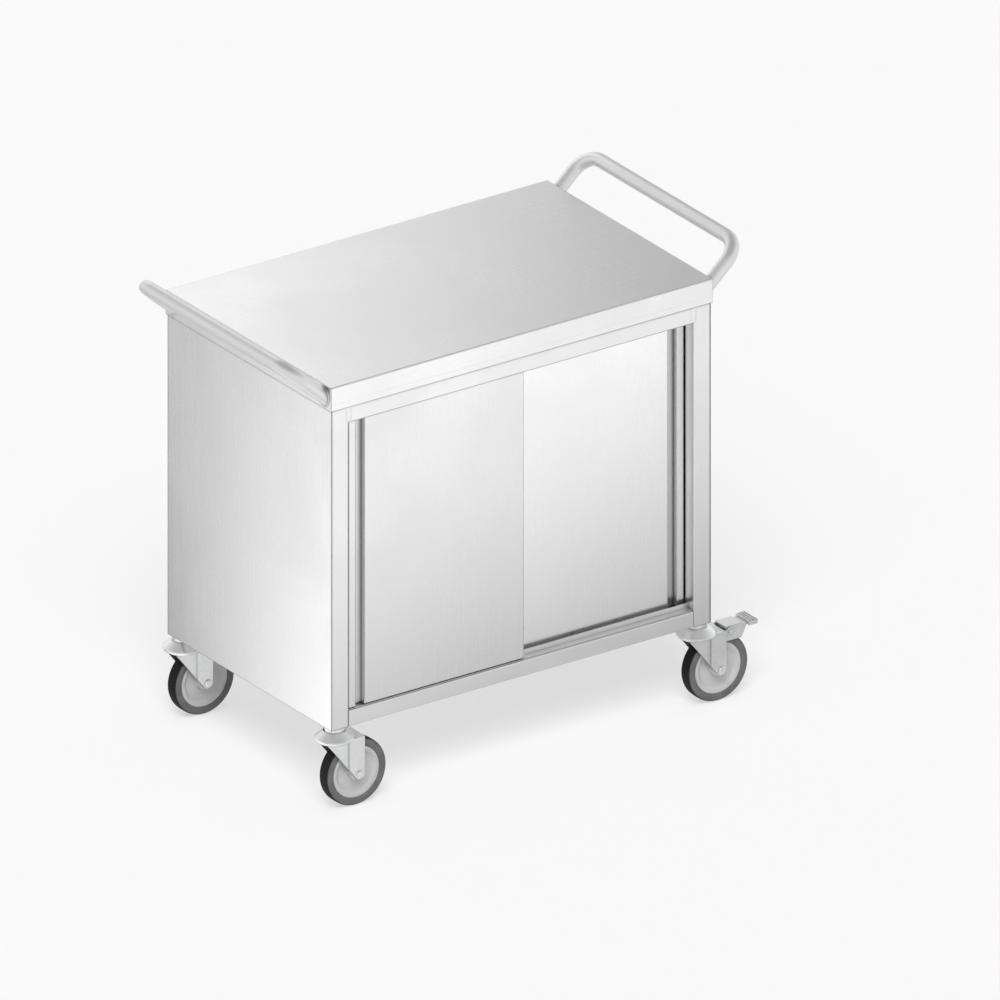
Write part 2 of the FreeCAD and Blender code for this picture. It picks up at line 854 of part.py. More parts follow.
def build_handles():
    slope = f"atan({s.handle_rise.text} / {s.handle_reach.text})"
    length = Dim(f"sqrt({s.handle_rise.text} ^ 2 + {s.handle_reach.text} ^ 2)",
                 math.hypot(s.handle_rise.value, s.handle_reach.value))
    half = s.top_width / 2 - s.handle_inset
    bend = s.handle_bend
    tail = s.handle_tube * 1.2
    tube = loose_body("handle_tube")

    path = sketch_on(tube, "XY")
    start, reach, y, r = -tail.value, length.value, half.value, bend.value

    def vector(x, y):
        return FreeCAD.Vector(x, y, 0)

    def corner(x, y, first, last):
        ring = Part.Circle(vector(x, y), FreeCAD.Vector(0, 0, 1), r)
        return Part.ArcOfCircle(ring, math.radians(first), math.radians(last))

    path.addGeometry([
        Part.LineSegment(vector(start, -y), vector(reach - r, -y)),
        corner(reach - r, r - y, 270, 360),
        Part.LineSegment(vector(reach, r - y), vector(reach, y - r)),
        corner(reach - r, y - r, 0, 90),
        Part.LineSegment(vector(reach - r, y), vector(start, y)),
    ], False)
    for curve in range(4):
        path.addConstraint(Sketcher.Constraint("Tangent", curve, 2, curve + 1, 1))
    path.addConstraint(Sketcher.Constraint("Horizontal", 0))
    path.addConstraint(Sketcher.Constraint("Vertical", 2))
    path.addConstraint(Sketcher.Constraint("Horizontal", 4))
    limit(path, "Radius", (1,), bend)
    limit(path, "Radius", (3,), bend)
    limit(path, "DistanceX", (-1, 1, 2, 1), length)
    pin_point(path, 0, 1, -tail, -half)
    pin_point(path, 4, 2, -tail, half)

    ring = sketch_on(tube, "YZ", -tail)
    circle(ring, -half, 0, s.handle_tube / 2)
    circle(ring, -half, 0, s.handle_tube / 2 - s.handle_wall)
    sweep = tube.newObject("PartDesign::AdditivePipe", "handle_sweep")
    sweep.Profile = ring
    sweep.Spine = path
    tube.Placement.Rotation = FreeCAD.Rotation(FreeCAD.Vector(0, -1, 0), 45)
    tube.setExpression(".Placement.Rotation.Angle", slope)
    skirt = s.top_length / 2
    place(tube, skirt, 0, top_level - s.handle_drop)

    inward = s.handle_tube * 3
    block = box("handle_trim", (skirt - inward, skirt), (-s.top_width, s.top_width),
                (top_level - inward, top_level + inward))
    right = doc.addObject("Part::Cut", "right_handle")
    right.Base = tube
    right.Tool = block
    hand_in(right, "right_handle")
    left = doc.addObject("Part::Mirroring", "left_handle")
    left.Source = right
    left.Normal = FreeCAD.Vector(1, 0, 0)
    hand_in(left, "left_handle")


# Castors: heights counted from the floor, sizes across from the swivel axis

axle_level = s.wheel_diameter / 2
crown_bottom = s.wheel_diameter + s.wheel_clearance
crown_top = crown_bottom + s.fork_sheet
dome_bottom = crown_top + s.swivel_gap
dome_top = dome_bottom + s.dome_height
fork_inside = s.tyre_width / 2 + s.fork_gap
fork_outside = fork_inside + s.fork_sheet
leg_face = fork_outside + s.fork_fold_depth
bush_radius = s.axle_diameter / 2 + s.axle_fit + s.bush_wall
tread_seat = s.wheel_diameter / 2 - s.tyre_height
pedal_pin_x = s.castor_trail + s.pedal_pin_ahead
pedal_pin_z = s.wheel_diameter + s.pedal_pin_rise
pedal_reach = s.castor_trail + s.wheel_diameter / 2 + s.pedal_beyond
CASTORS = (
    ("front_left", -post_x, front_post_y, False),
    ("front_right", post_x, front_post_y, True),
    ("rear_left", -post_x, rear_post_y, False),
    ("rear_right", post_x, rear_post_y, True),
)


def build_castor_heads():
    """Stems, expanders, domes and ball rings: what stays with the cabinet."""
    stems, expanders, domes, balls = [], [], [], []
    pin = s.kingpin_diameter / 2
    collar = s.collar_diameter / 2
    stem = s.stem_diameter / 2
    head_top = crown_bottom - s.swivel_gap
    for name, x, y, braked in CASTORS:
        post_stem = loose_body(f"{name}_stem")
        shape = sketch_on(post_stem, "XZ")
        polygon(shape, [
            (0, head_top - s.kingpin_head_height),
            (s.kingpin_head / 2, head_top - s.kingpin_head_height),
            (s.kingpin_head / 2, head_top),
            (pin, head_top),
            (pin, dome_top),
            (collar, dome_top),
            (collar, body_bottom),
            (stem, body_bottom),
            (stem, body_bottom + s.stem_length),
            (0, body_bottom + s.stem_length),
        ])
        turn(post_stem, shape)
        place(post_stem, x, y)
        stems.append(post_stem)

        plug = loose_body(f"{name}_expander")
        half = s.post_side / 2 - s.tube_wall - s.expander_gap
        block = sketch_on(plug, "XY", body_bottom)
        rectangle(block, (-half, half), (-half, half))
        circle(block, 0, 0, stem + s.axle_fit)
        pad(plug, block, s.expander_height)
        place(plug, x, y)
        expanders.append(plug)

        dome = loose_body(f"{name}_dome")
        rim = s.dome_diameter / 2
        wall = s.dome_sheet
        shoulder = s.dome_shoulder
        shape = sketch_on(dome, "XZ")
        polygon(shape, [
            (pin + s.axle_fit, dome_top),
            (shoulder, dome_top),
            (rim - wall / 2, dome_bottom + wall * 1.6),
            (rim, dome_bottom + wall),
            (rim, dome_bottom),
            (rim - wall, dome_bottom),
            (rim - wall, dome_bottom + wall * 0.6),
            (shoulder - wall / 2, dome_top - wall),
            (pin + s.axle_fit, dome_top - wall),
        ])
        turn(dome, shape)
        place(dome, x, y)
        domes.append(dome)

        level = crown_top + s.swivel_gap + s.ball_diameter / 2
        count = int(2 * math.pi * s.ball_ring.value / (s.ball_diameter.value * 1.25))
        for i in range(count):
            turned = math.radians(360 * i / count)
            ball = doc.addObject("Part::Sphere", f"{name}_ball")
            bind(ball, "Radius", s.ball_diameter / 2)
            ring_x = x + s.ball_ring * round(math.cos(turned), 9)
            ring_y = y + s.ball_ring * round(math.sin(turned), 9)
            place(ball, ring_x, ring_y, level)
            balls.append(ball)
    group("castor_stems", stems)
    group("castor_expanders", expanders)
    group("castor_domes", domes)
    group("swivel_balls", balls)


def leg_outline(sketch):
    """Side of the fork: upright trailing edge, slanted front edge, round end at the axle."""
    left, right = -s.fork_front, s.castor_trail + s.fork_end
    low = crown_top - s.fork_face
    centre = FreeCAD.Vector(s.castor_trail.value, axle_level.value, 0)
    ring = Part.Circle(centre, FreeCAD.Vector(0, 0, 1), s.fork_end.value)
    foot = FreeCAD.Vector(left.value, low.value, 0)
    away = math.hypot(foot.x - centre.x, foot.y - centre.y)
    touch = math.atan2(foot.y - centre.y, foot.x - centre.x) + math.acos(s.fork_end.value / away)
    arc = Part.ArcOfCircle(ring, touch, 2 * math.pi)
    points = [FreeCAD.Vector(left.value, crown_top.value, 0), foot, arc.StartPoint, arc.EndPoint,
              FreeCAD.Vector(right.value, crown_top.value, 0)]
    sketch.addGeometry([
        Part.LineSegment(points[0], points[1]),
        Part.LineSegment(points[1], points[2]),
        arc,
        Part.LineSegment(points[3], points[4]),
        Part.LineSegment(points[4], points[0]),
    ], False)
    sketch.addConstraint(Sketcher.Constraint("Coincident", 0, 2, 1, 1))
    sketch.addConstraint(Sketcher.Constraint("Tangent", 1, 2, 2, 1))
    sketch.addConstraint(Sketcher.Constraint("Tangent", 2, 2, 3, 1))
    sketch.addConstraint(Sketcher.Constraint("Coincident", 3, 2, 4, 1))
    sketch.addConstraint(Sketcher.Constraint("Coincident", 4, 2, 0, 1))
    pin_point(sketch, 0, 1, left, crown_top)
    pin_point(sketch, 1, 1, left, low)
    pin_point(sketch, 2, 3, s.castor_trail, axle_level)
    limit(sketch, "Radius", (2,), s.fork_end)
    pin_point(sketch, 4, 1, right, crown_top)


def build_fork(name, x, y, braked):
    """A pressed fork: flat crown, two legs with a raised upright strip, ears for a pedal."""
    fork = body_named(f"{name}_fork")
    trail = s.castor_trail
    pin_x, pin_z = pedal_pin_x, pedal_pin_z
    legs = sketch_on(fork, "XZ")
    leg_outline(legs)
    pad(fork, legs, leg_face * 2, both_sides=True)
    for side in (1, -1):
        lower = sketch_on(fork, "XZ", fork_outside * side)
        lower_x = (-s.wheel_diameter, trail - s.fork_fold)
        rectangle(lower, lower_x, (0, crown_top + s.fork_sheet))
        pocket(fork, lower, s.fork_fold_depth * 2, upward=side > 0)
    if braked:
        ears = sketch_on(fork, "XZ")
        rectangle(ears, (trail, pin_x), (pin_z - s.pedal_ear, pin_z + s.pedal_ear / 2))
        pad(fork, ears, fork_outside * 2, both_sides=True)
        ear_end = sketch_on(fork, "XZ")
        circle(ear_end, pin_x, pin_z, s.pedal_ear)
        pad(fork, ear_end, fork_outside * 2, both_sides=True)
    crown = sketch_on(fork, "XY", crown_bottom)
    circle(crown, 0, 0, s.fork_crown)
    pad(fork, crown, s.fork_sheet)
    well = sketch_on(fork, "XZ")
    rectangle(well, (-s.wheel_diameter, s.wheel_diameter), (0, crown_bottom))
    pocket(fork, well, fork_inside * 2, both_sides=True)
    if braked:
        mouth = sketch_on(fork, "XZ")
        rectangle(mouth, (trail + s.fork_end, s.wheel_diameter), (crown_bottom / 2, crown_top * 2))
        pocket(fork, mouth, fork_inside * 2, both_sides=True)
        pin_hole = sketch_on(fork, "XZ")
        circle(pin_hole, pin_x, pin_z, s.pedal_pin_diameter / 2 + s.running_gap)
        pocket(fork, pin_hole, leg_face * 3, both_sides=True)
    axle_hole = sketch_on(fork, "XZ")
    circle(axle_hole, trail, axle_level, s.axle_diameter / 2 + s.axle_fit)
    pocket(fork, axle_hole, leg_face * 3, both_sides=True)
    king_hole = sketch_on(fork, "XY", crown_top)
    circle(king_hole, 0, 0, s.kingpin_diameter / 2 + s.running_gap)
    pocket(fork, king_hole, s.fork_sheet * 2, both_sides=True)
    place(fork, x, y)


def build_axle(name, x, y):
    """A bolt through fork and bush, its nut, and the bush the wheel turns on."""
    radius = s.axle_diameter / 2
    head = s.axle_head / 2
    high = s.axle_head_height
    bolt = loose_body(f"{name}_bolt")
    shape = sketch_on(bolt, "XY")
    polygon(shape, [
        (0, -leg_face - high),
        (head * 0.72, -leg_face - high),
        (head, -leg_face - high * 0.45),
        (head, -leg_face),
        (radius, -leg_face),
        (radius, leg_face + high),
        (0, leg_face + high),
    ])
    turn(bolt, shape)
    nut = loose_body(f"{name}_nut")
    shape = sketch_on(nut, "XY")
    polygon(shape, [
        (radius + s.axle_fit, leg_face),
        (head, leg_face),
        (head, leg_face + high * 0.6),
        (head * 0.8, leg_face + high),
        (radius + s.axle_fit, leg_face + high),
    ])
    turn(nut, shape)
    bush = loose_body(f"{name}_bush")
    shape = sketch_on(bush, "XY")
    rectangle(shape, (radius + s.axle_fit, bush_radius), (-fork_inside, fork_inside))
    turn(bush, shape)
    for piece in (bolt, nut, bush):
        place(piece, x + s.castor_trail, y, axle_level)
    group(f"{name}_axle", [bolt, nut, bush])


def build_wheel(name, x, y):
    """A dished disc with a hub, and the tyre moulded on it."""
    rim = body_named(f"{name}_rim")
    bore = bush_radius + s.running_gap
    hub = s.hub_diameter / 2
    hub_half = fork_inside - s.hub_gap
    land = tread_seat - s.rim_land
    disc = s.disc_half
    shape = sketch_on(rim, "XY")
    polygon(shape, [
        (bore, -hub_half),
        (hub, -hub_half),
        (hub + s.hub_draft, -disc),
        (land - s.rim_land, -disc),
        (land, -s.rim_half),
        (tread_seat, -s.rim_half),
        (tread_seat, s.rim_half),
        (land, s.rim_half),
        (land - s.rim_land, disc),
        (hub + s.hub_draft, disc),
        (hub, hub_half),
        (bore, hub_half),
    ])
    turn(rim, shape)
    place(rim, x + s.castor_trail, y, axle_level)

    tyre = body_named(f"{name}_tyre")
    half = s.tyre_width / 2
    tread = s.wheel_diameter / 2
    shape = sketch_on(tyre, "XY")
    polygon(shape, [
        (tread_seat, -s.rim_half),
        (tread_seat + s.tyre_bead, -half + s.tyre_bead / 3),
        (tread_seat + s.tyre_bulge, -half),
        (tread, -half),
        (tread, half),
        (tread_seat + s.tyre_bulge, half),
        (tread_seat + s.tyre_bead, half - s.tyre_bead / 3),
        (tread_seat, s.rim_half),
    ])
    turn(tyre, shape)
    round_edges(tyre, s.tyre_shoulder, lambda edge: near(edge.BoundBox.XMax, tread.value)
                and near(abs(edge.Vertexes[0].Y), half.value))
    place(tyre, x + s.castor_trail, y, axle_level)


def over_tread(angle):
    """A point a shoe gap above the tread, at an angle from the top of the wheel."""
    radius = axle_level + s.shoe_gap
    turned = math.radians(angle.value)
    aside = Dim(f"({radius.text} * sin({angle.text}))", radius.value * math.sin(turned))
    above = Dim(f"({radius.text} * cos({angle.text}))", radius.value * math.cos(turned))
    return s.castor_trail + aside, axle_level + above


def build_pedal(name, x, y):
    """A folded foot lever over the wheel: its shoe, a lowered neck and a ribbed foot pan."""
    pedal = body_named(f"{name}_pedal")
    pin_x, pin_z = pedal_pin_x, pedal_pin_z
    half = fork_inside - s.pedal_side_gap
    roof = pin_z + s.pedal_roof
    back = pin_x - s.pedal_back
    low = pin_z - s.pedal_skirt
    arm_end = pin_x + s.pedal_arm
    wall = s.pedal_sheet
    under = roof - wall
    channel = sketch_on(pedal, "XZ")
    polygon(channel, [
        (back, roof),
        (back, low),
        (arm_end, low),
        (arm_end + s.pedal_taper, under),
        (arm_end + s.pedal_taper, roof),
    ])
    pad(pedal, channel, half * 2, both_sides=True)
    hollow = sketch_on(pedal, "XZ")
    rectangle(hollow, (back - pedal_reach, pedal_reach * 2), (low - pedal_reach, under))
    pocket(pedal, hollow, (half - wall) * 2, both_sides=True)
    foot_start = pedal_reach - s.pedal_foot
    neck_top = roof - s.pedal_neck_drop
    step_down = sketch_on(pedal, "XZ")
    rectangle(step_down, (arm_end, pedal_reach), (neck_top, roof + wall))
    pocket(pedal, step_down, half * 3, both_sides=True)
    neck = sketch_on(pedal, "XZ")
    polygon(neck, [
        (arm_end - wall, roof),
        (arm_end - wall, neck_top - wall),
        (foot_start + wall, neck_top - wall),
        (foot_start + wall, neck_top),
        (arm_end, neck_top),
        (arm_end, roof),
    ])
    pad(pedal, neck, half * 2, both_sides=True)
    foot = sketch_on(pedal, "XZ")
    rectangle(foot, (foot_start, pedal_reach), (roof - s.pedal_foot_lip, roof))
    pad(pedal, foot, s.pedal_foot_width, both_sides=True)
    pan = sketch_on(pedal, "XZ")
    rectangle(pan, (foot_start + wall, pedal_reach - wall), (roof - s.pedal_foot_lip * 2, under))
    pocket(pedal, pan, s.pedal_foot_width - wall * 2, both_sides=True)
    for step in (0.3, 0.6, 0.9):
        rib = sketch_on(pedal, "XZ")
        middle = foot_start + s.pedal_foot * step
        rib_x = (middle - s.pedal_rib / 2, middle + s.pedal_rib / 2)
        rectangle(rib, rib_x, (roof - wall / 2, roof + s.pedal_rib_height))
        pad(pedal, rib, s.pedal_foot_width, both_sides=True)
    shoe = sketch_on(pedal, "XZ")
    ends = [over_tread(s.shoe_start), over_tread(s.shoe_end)]
    polygon(shoe, [(ends[0][0], under), ends[0], ends[1], (ends[1][0], under)])
    pad(pedal, shoe, s.shoe_width, both_sides=True)
    hole = sketch_on(pedal, "XZ")
    circle(hole, pin_x, pin_z, s.pedal_pin_diameter / 2 + s.running_gap)
    pocket(pedal, hole, half * 3, both_sides=True)
    place(pedal, x, y)

    pin = body_named(f"{name}_pedal_pin")
    radius = s.pedal_pin_diameter / 2
    head = s.pedal_pin_head / 2
    high = s.pedal_pin_head_height
    shape = sketch_on(pin, "XY")
    polygon(shape, [
        (0, -fork_outside - high),
        (head, -fork_outside - high),
        (head, -fork_outside),
        (radius, -fork_outside),
        (radius, fork_outside),
        (head, fork_outside),
        (head, fork_outside + high),
        (0, fork_outside + high),
    ])
    turn(pin, shape)
    place(pin, x + pin_x, y, pin_z)


def build_castors():
    build_castor_heads()
    for name, x, y, braked in CASTORS:
        build_fork(name, x, y, braked)
        build_axle(name, x, y)
        build_wheel(name, x, y)
        if braked:
            build_pedal(name, x, y)


# Assembly order

build_worktop()
build_core()
build_posts()
build_front_rails()
build_top_rails()
build_panels()
build_trays()
build_tracks()
build_doors()
build_buffers()
build_handles()
build_castors()
doc.recompute()

# Every object is checked before any file is written

for thing in doc.Objects:
    if "Invalid" in thing.State or "Error" in thing.State:
        raise RuntimeError(f"{thing.Label} did not build: {thing.State}")
for thing in sub_parts:
    if thing.Shape.isNull() or not thing.Shape.isValid() or not thing.Shape.Solids:
        raise RuntimeError(f"{thing.Label} has no sound solid")

os.makedirs("parts", exist_ok=True)
for thing in sub_parts:
    thing.Shape.exportStep(f"parts/{thing.Label}.step")
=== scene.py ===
import math

import bpy
import numpy as np
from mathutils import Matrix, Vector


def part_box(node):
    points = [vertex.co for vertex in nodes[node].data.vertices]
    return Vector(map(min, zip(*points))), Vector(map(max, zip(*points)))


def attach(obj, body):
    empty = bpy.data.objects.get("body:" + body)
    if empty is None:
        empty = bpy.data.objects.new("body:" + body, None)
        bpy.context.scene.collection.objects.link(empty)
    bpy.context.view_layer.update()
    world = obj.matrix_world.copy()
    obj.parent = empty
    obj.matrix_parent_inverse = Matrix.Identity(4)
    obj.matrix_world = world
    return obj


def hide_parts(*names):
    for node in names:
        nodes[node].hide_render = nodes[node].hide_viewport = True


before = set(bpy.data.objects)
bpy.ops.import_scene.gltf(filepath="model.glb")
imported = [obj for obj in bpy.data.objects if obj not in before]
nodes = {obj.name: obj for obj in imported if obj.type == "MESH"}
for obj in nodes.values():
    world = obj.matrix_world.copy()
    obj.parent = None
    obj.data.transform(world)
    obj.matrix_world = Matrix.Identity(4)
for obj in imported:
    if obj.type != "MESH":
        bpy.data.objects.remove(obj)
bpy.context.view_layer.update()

# Cabinet trolley in satin stainless steel, dressed in the order it is put together.
# Lengths are metres in the row frame: +X to the right, the doors face -Y, +Z up.
scene = bpy.context.scene
scene.view_settings.view_transform = "Standard"


# Worktop
# One stainless sheet folded down all round, with ground and polished corner welds.
# The satin grain runs along the length; the folds carry painted shade, darker than the ground
# flats.

def node_adder(tree):
    """Empty a node tree and return a helper that adds a node to it and sets its inputs."""
    tree.nodes.clear()

    def add(kind, inputs=None, **settings):
        node = tree.nodes.new(kind)
        for key, value in settings.items():
            setattr(node, key, value)
        for key, value in (inputs or {}).items():
            if isinstance(value, bpy.types.NodeSocket):
                tree.links.new(value, node.inputs[key])
            else:
                node.inputs[key].default_value = value
        return node

    return add


def new_material(name):
    """An empty node material and the helper that fills it."""
    material = bpy.data.materials.new(name)
    material.use_nodes = True
    return material, node_adder(material.node_tree)


def set_surface(add, inputs):
    """The surface shader that completes a material."""
    surface = add("ShaderNodeBsdfPrincipled", inputs)
    add("ShaderNodeOutputMaterial", {"Surface": surface.outputs["BSDF"]})


def place_of(add):
    """The place of each point in the row frame."""
    return add("ShaderNodeTexCoord").outputs["Object"]


def noise(add, place, scale, detail, **more):
    """Cloudy noise: how fine it is, how many finer layers it has, and any other input."""
    inputs = {"Vector": place, "Scale": scale, "Detail": detail, **more}
    return add("ShaderNodeTexNoise", inputs).outputs["Fac"]


def ranged(add, value, low, high, start=0.0, end=1.0):
    """A factor stretched from start..end to low..high and kept within them."""
    node = add("ShaderNodeMapRange", {"Value": value, "From Min": start, "From Max": end,
                                      "To Min": low, "To Max": high})
    return node.outputs["Result"]


def reckon(add, operation, first, second):
    """The sum, product or larger of two values."""
    return add("ShaderNodeMath", {0: first, 1: second}, operation=operation).outputs[0]


def colour(tone):
    """Three levels made a full colour; the output of a node stays as it is."""
    return tone if isinstance(tone, bpy.types.NodeSocket) else (*tone, 1.0)


def two_tone(add, factor, first, second):
    """A colour between two, picked by a factor. The mix node's colours are known by place."""
    inputs = {"Factor": factor, 6: colour(first), 7: colour(second)}
    return add("ShaderNodeMix", inputs, data_type="RGBA").outputs[2]


def rounded_edge(add, radius):
    """The normal of a surface whose edges are rounded to a radius."""
    return add("ShaderNodeBevel", {"Radius": radius}, samples=6).outputs["Normal"]


def fold_factor(add, rounded):
    """1 along folds and 0 on flats, from how far the rounded normal leans off the flat one."""
    flat = add("ShaderNodeNewGeometry").outputs["Normal"]
    match = add("ShaderNodeVectorMath", {0: rounded, 1: flat}, operation="DOT_PRODUCT")
    return ranged(add, match.outputs["Value"], 1.0, 0.0, start=0.90, end=0.998)


FOLD_PAINTED_SHADE = 0.34
CREVICE_REACH = 0.007


def satin_steel(name, grain, pale, deep, rough, edge=0.0026, crevice=0.40, hollow=None):
    """Satin stainless: long fine grain lines, faint cleaning smears, and painted shade along folds
    and in crevices.
    grain is how closely the lines lie along each axis, per metre; edge is how wide the painted
    shade along a fold reaches, and crevice the painted shade of a tight corner, found by
    occlusion;
    hollow, where given, is the span in Y over which painted shade deepens into a pressed-in
    channel, and its shade at the bottom."""
    material, add = new_material(name)
    place = place_of(add)
    along = add("ShaderNodeMapping", {"Vector": place, "Scale": grain}).outputs["Vector"]
    lines = noise(add, along, scale=1.0, detail=5.0, Roughness=0.62)
    smears = noise(add, place, scale=5.5, detail=3.0, Distortion=0.6)
    metal = two_tone(add, ranged(add, lines, 0.0, 1.0, start=0.28, end=0.72), deep, pale)
    rounded = rounded_edge(add, edge)
    # Painted shade: corners hemmed in by nearby surfaces, found by occlusion, are darkened in the
    # colour.
    occlusion = add("ShaderNodeAmbientOcclusion", {"Distance": CREVICE_REACH}, samples=5)
    # Painted shade: the colour is darkened along folds.
    fold_painted_shade = ranged(add, fold_factor(add, rounded), 1.0, FOLD_PAINTED_SHADE)
    corner_painted_shade = ranged(add, occlusion.outputs["AO"], crevice, 1.0, start=0.45, end=0.95)
    shade = reckon(add, "MULTIPLY", fold_painted_shade, corner_painted_shade)
    # Painted shade: the colour darkens with depth into the pressed-in channel.
    if hollow:
        start, end, bottom = hollow
        inward = add("ShaderNodeSeparateXYZ", {"Vector": place}).outputs["Y"]
        shade = reckon(add, "MULTIPLY", shade, ranged(add, inward, 1.0, bottom, start, end))
    shaded = add("ShaderNodeVectorMath", {0: metal, "Scale": shade}, operation="SCALE")
    sheen = reckon(add, "ADD", ranged(add, lines, -0.05, 0.06, start=0.25, end=0.75),
                   ranged(add, smears, -0.04, 0.05, start=0.3, end=0.7))
    relief = add("ShaderNodeBump", {"Height": lines, "Normal": rounded, "Strength": 0.06,
                                    "Distance": 0.0002})
    set_surface(add, {"Base Color": shaded.outputs["Vector"], "Metallic": 1.0,
                      "Roughness": reckon(add, "ADD", sheen, rough),
                      "Normal": relief.outputs["Normal"]})
    return material


def dress(material, *names):
    """Give CAD nodes a finish in place of their plain one."""
    for name in names:
        mesh = nodes[name].data
        mesh.materials.clear()
        mesh.materials.append(material)


STEEL_PALE = (0.785, 0.785, 0.785)
STEEL_DEEP = (0.745, 0.745, 0.748)
GRAIN_ALONG_X = (6.0, 900.0, 900.0)
top_steel = satin_steel("worktop satin steel", GRAIN_ALONG_X, STEEL_PALE, STEEL_DEEP, rough=0.30)
dress(top_steel, "worktop")


# Worktop core
# Moisture-proof chipboard glued under the worktop skin to deaden and stiffen it.
# It shows only from below, inside the cabinet.

CHIP_DEEP = (0.46, 0.33, 0.20)
CHIP_PALE = (0.70, 0.56, 0.38)


def chipboard(name):
    """Pressed wood chips: pale and dark flakes a few millimetres across."""
    material, add = new_material(name)
    flakes = add("ShaderNodeTexVoronoi", {"Vector": place_of(add), "Scale": 260.0})
    shade = add("ShaderNodeSeparateColor", {"Color": flakes.outputs["Color"]}).outputs[0]
    relief = add("ShaderNodeBump", {"Height": shade, "Strength": 0.3, "Distance": 0.0004})
    set_surface(add, {"Base Color": two_tone(add, shade, CHIP_DEEP, CHIP_PALE),
                      "Roughness": 0.8, "Normal": relief.outputs["Normal"]})
    return material


dress(chipboard("core chipboard"), "worktop_core")


# Posts
# Square stainless tubes, ground along their length and welded to the rails.
# Their open feet take the castors.

GRAIN_UPRIGHT = (900.0, 900.0, 6.0)
upright_steel = satin_steel("post satin steel", GRAIN_UPRIGHT, STEEL_PALE, STEEL_DEEP, rough=0.32)
dress(upright_steel, "front_left_post", "front_right_post", "rear_left_post", "rear_right_post")


# Frame rails
# A folded lip rail over the doors, a box rail under them, and tubes at the back and sides.
# Their grain follows each rail.

GRAIN_ALONG_Y = (900.0, 6.0, 900.0)
long_steel = satin_steel("rail satin steel", GRAIN_ALONG_X, STEEL_PALE, STEEL_DEEP, rough=0.32)
cross_steel = satin_steel("side rail satin steel", GRAIN_ALONG_Y, STEEL_PALE, STEEL_DEEP,
                          rough=0.32)
dress(long_steel, "front_top_rail", "front_bottom_rail", "rear_top_rail")
dress(cross_steel, "left_top_rail", "right_top_rail")


# Frame corner welds
# The lip rail is welded to both front posts, and the seams are filled and ground almost flush.
# So the frame shows no joint over the doors.

def surface_mesh(name, points, close_first=False, close_second=False):
    """A mesh from a grid of points: neighbours on the grid become quads, either way may close."""
    rows, columns = points.shape[:2]
    index = np.arange(rows * columns).reshape(rows, columns)
    if close_first:
        index = np.concatenate([index, index[:1]], axis=0)
    if close_second:
        index = np.concatenate([index, index[:, :1]], axis=1)
    quads = np.stack([index[:-1, :-1], index[1:, :-1], index[1:, 1:], index[:-1, 1:]], axis=-1)
    mesh = bpy.data.meshes.new(name)
    mesh.from_pydata(points.reshape(-1, 3), [], quads.reshape(-1, 4))
    mesh.polygons.foreach_set("use_smooth", np.ones(len(mesh.polygons), dtype=bool))
    piece = bpy.data.objects.new(name, mesh)
    scene.collection.objects.link(piece)
    return piece


def finish_piece(piece, material, body):
    """Give a new piece its finish and the body it rides on."""
    piece.data.materials.append(material)
    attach(piece, body)


dressed_steel = satin_steel("dressed corner weld", GRAIN_ALONG_X, STEEL_PALE, STEEL_DEEP,
                            rough=0.32, edge=0.0002, crevice=0.65)
DRESSED_HALF = 0.0055
DRESSED_CROWN = 0.00012
DRESSED_ROOT = 0.0008
DRESSED_TIP = 0.007
DRESSED_TUCK = 0.002
DRESSED_ACROSS = 13
DRESSED_STEPS = 25


def dressed_weld(name, seam_x, face_y, low, high):
    """A flat lens carried upright along the seam: its front bulges by a parabola that meets the
    faces at both sides, its back dips into the seam by another, and it narrows to a point in the
    corner over the doors by a quarter of a sine. The last row closes its top, behind the skirt."""
    across = np.linspace(-1.0, 1.0, DRESSED_ACROSS)
    side = np.concatenate([across, across[-2:0:-1]])
    in_front = np.arange(len(side)) < DRESSED_ACROSS
    depth = np.where(in_front, -DRESSED_CROWN, DRESSED_ROOT) * (1.0 - side ** 2)
    along = np.append(np.linspace(0.0, 1.0, DRESSED_STEPS), 1.0)[:, None]
    full = np.sin(0.5 * np.pi * np.minimum(along * (high - low) / DRESSED_TIP, 1.0))
    full[-1] = 0.0
    points = np.stack([seam_x + DRESSED_HALF * side * full,
                       face_y + depth * full,
                       low + (high - low) * along * np.ones_like(side)], axis=-1)
    return surface_mesh(name, points, close_second=True)


rail_low, rail_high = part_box("front_top_rail")
weld_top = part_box("worktop")[0][2] + DRESSED_TUCK
for end, seam_x in (("left", rail_low[0]), ("right", rail_high[0])):
    weld = dressed_weld(f"front_{end}_corner_weld", seam_x, rail_low[1], rail_low[2], weld_top)
    finish_piece(weld, dressed_steel, "cabinet")


# Side and back panels
# Flat stainless sheets, cut with the satin grain upright.
# They close three sides, spot-welded to posts and rails.

panel_steel = satin_steel("panel satin steel", GRAIN_UPRIGHT, STEEL_PALE, STEEL_DEEP, rough=0.26)
dress(panel_steel, "left_side_panel", "right_side_panel", "back_panel")


# Cabinet floor, middle shelf and shelf angles
# Folded stainless trays with the grain along the cabinet.
# The shelf lies loose on two angles.

dress(long_steel, "cabinet_floor", "middle_shelf")
dress(cross_steel, "shelf_angles")


# Door tracks
# A rolled steel top track with two channels, one for each door.
# A ribbed guide strip on the bottom rail keeps the doors in line.

track_steel = satin_steel("rolled track steel", GRAIN_ALONG_X, pale=(0.80, 0.80, 0.80),
                          deep=(0.70, 0.70, 0.71), rough=0.36, edge=0.0006, crevice=0.85)
dress(track_steel, "door_top_track", "door_bottom_track")
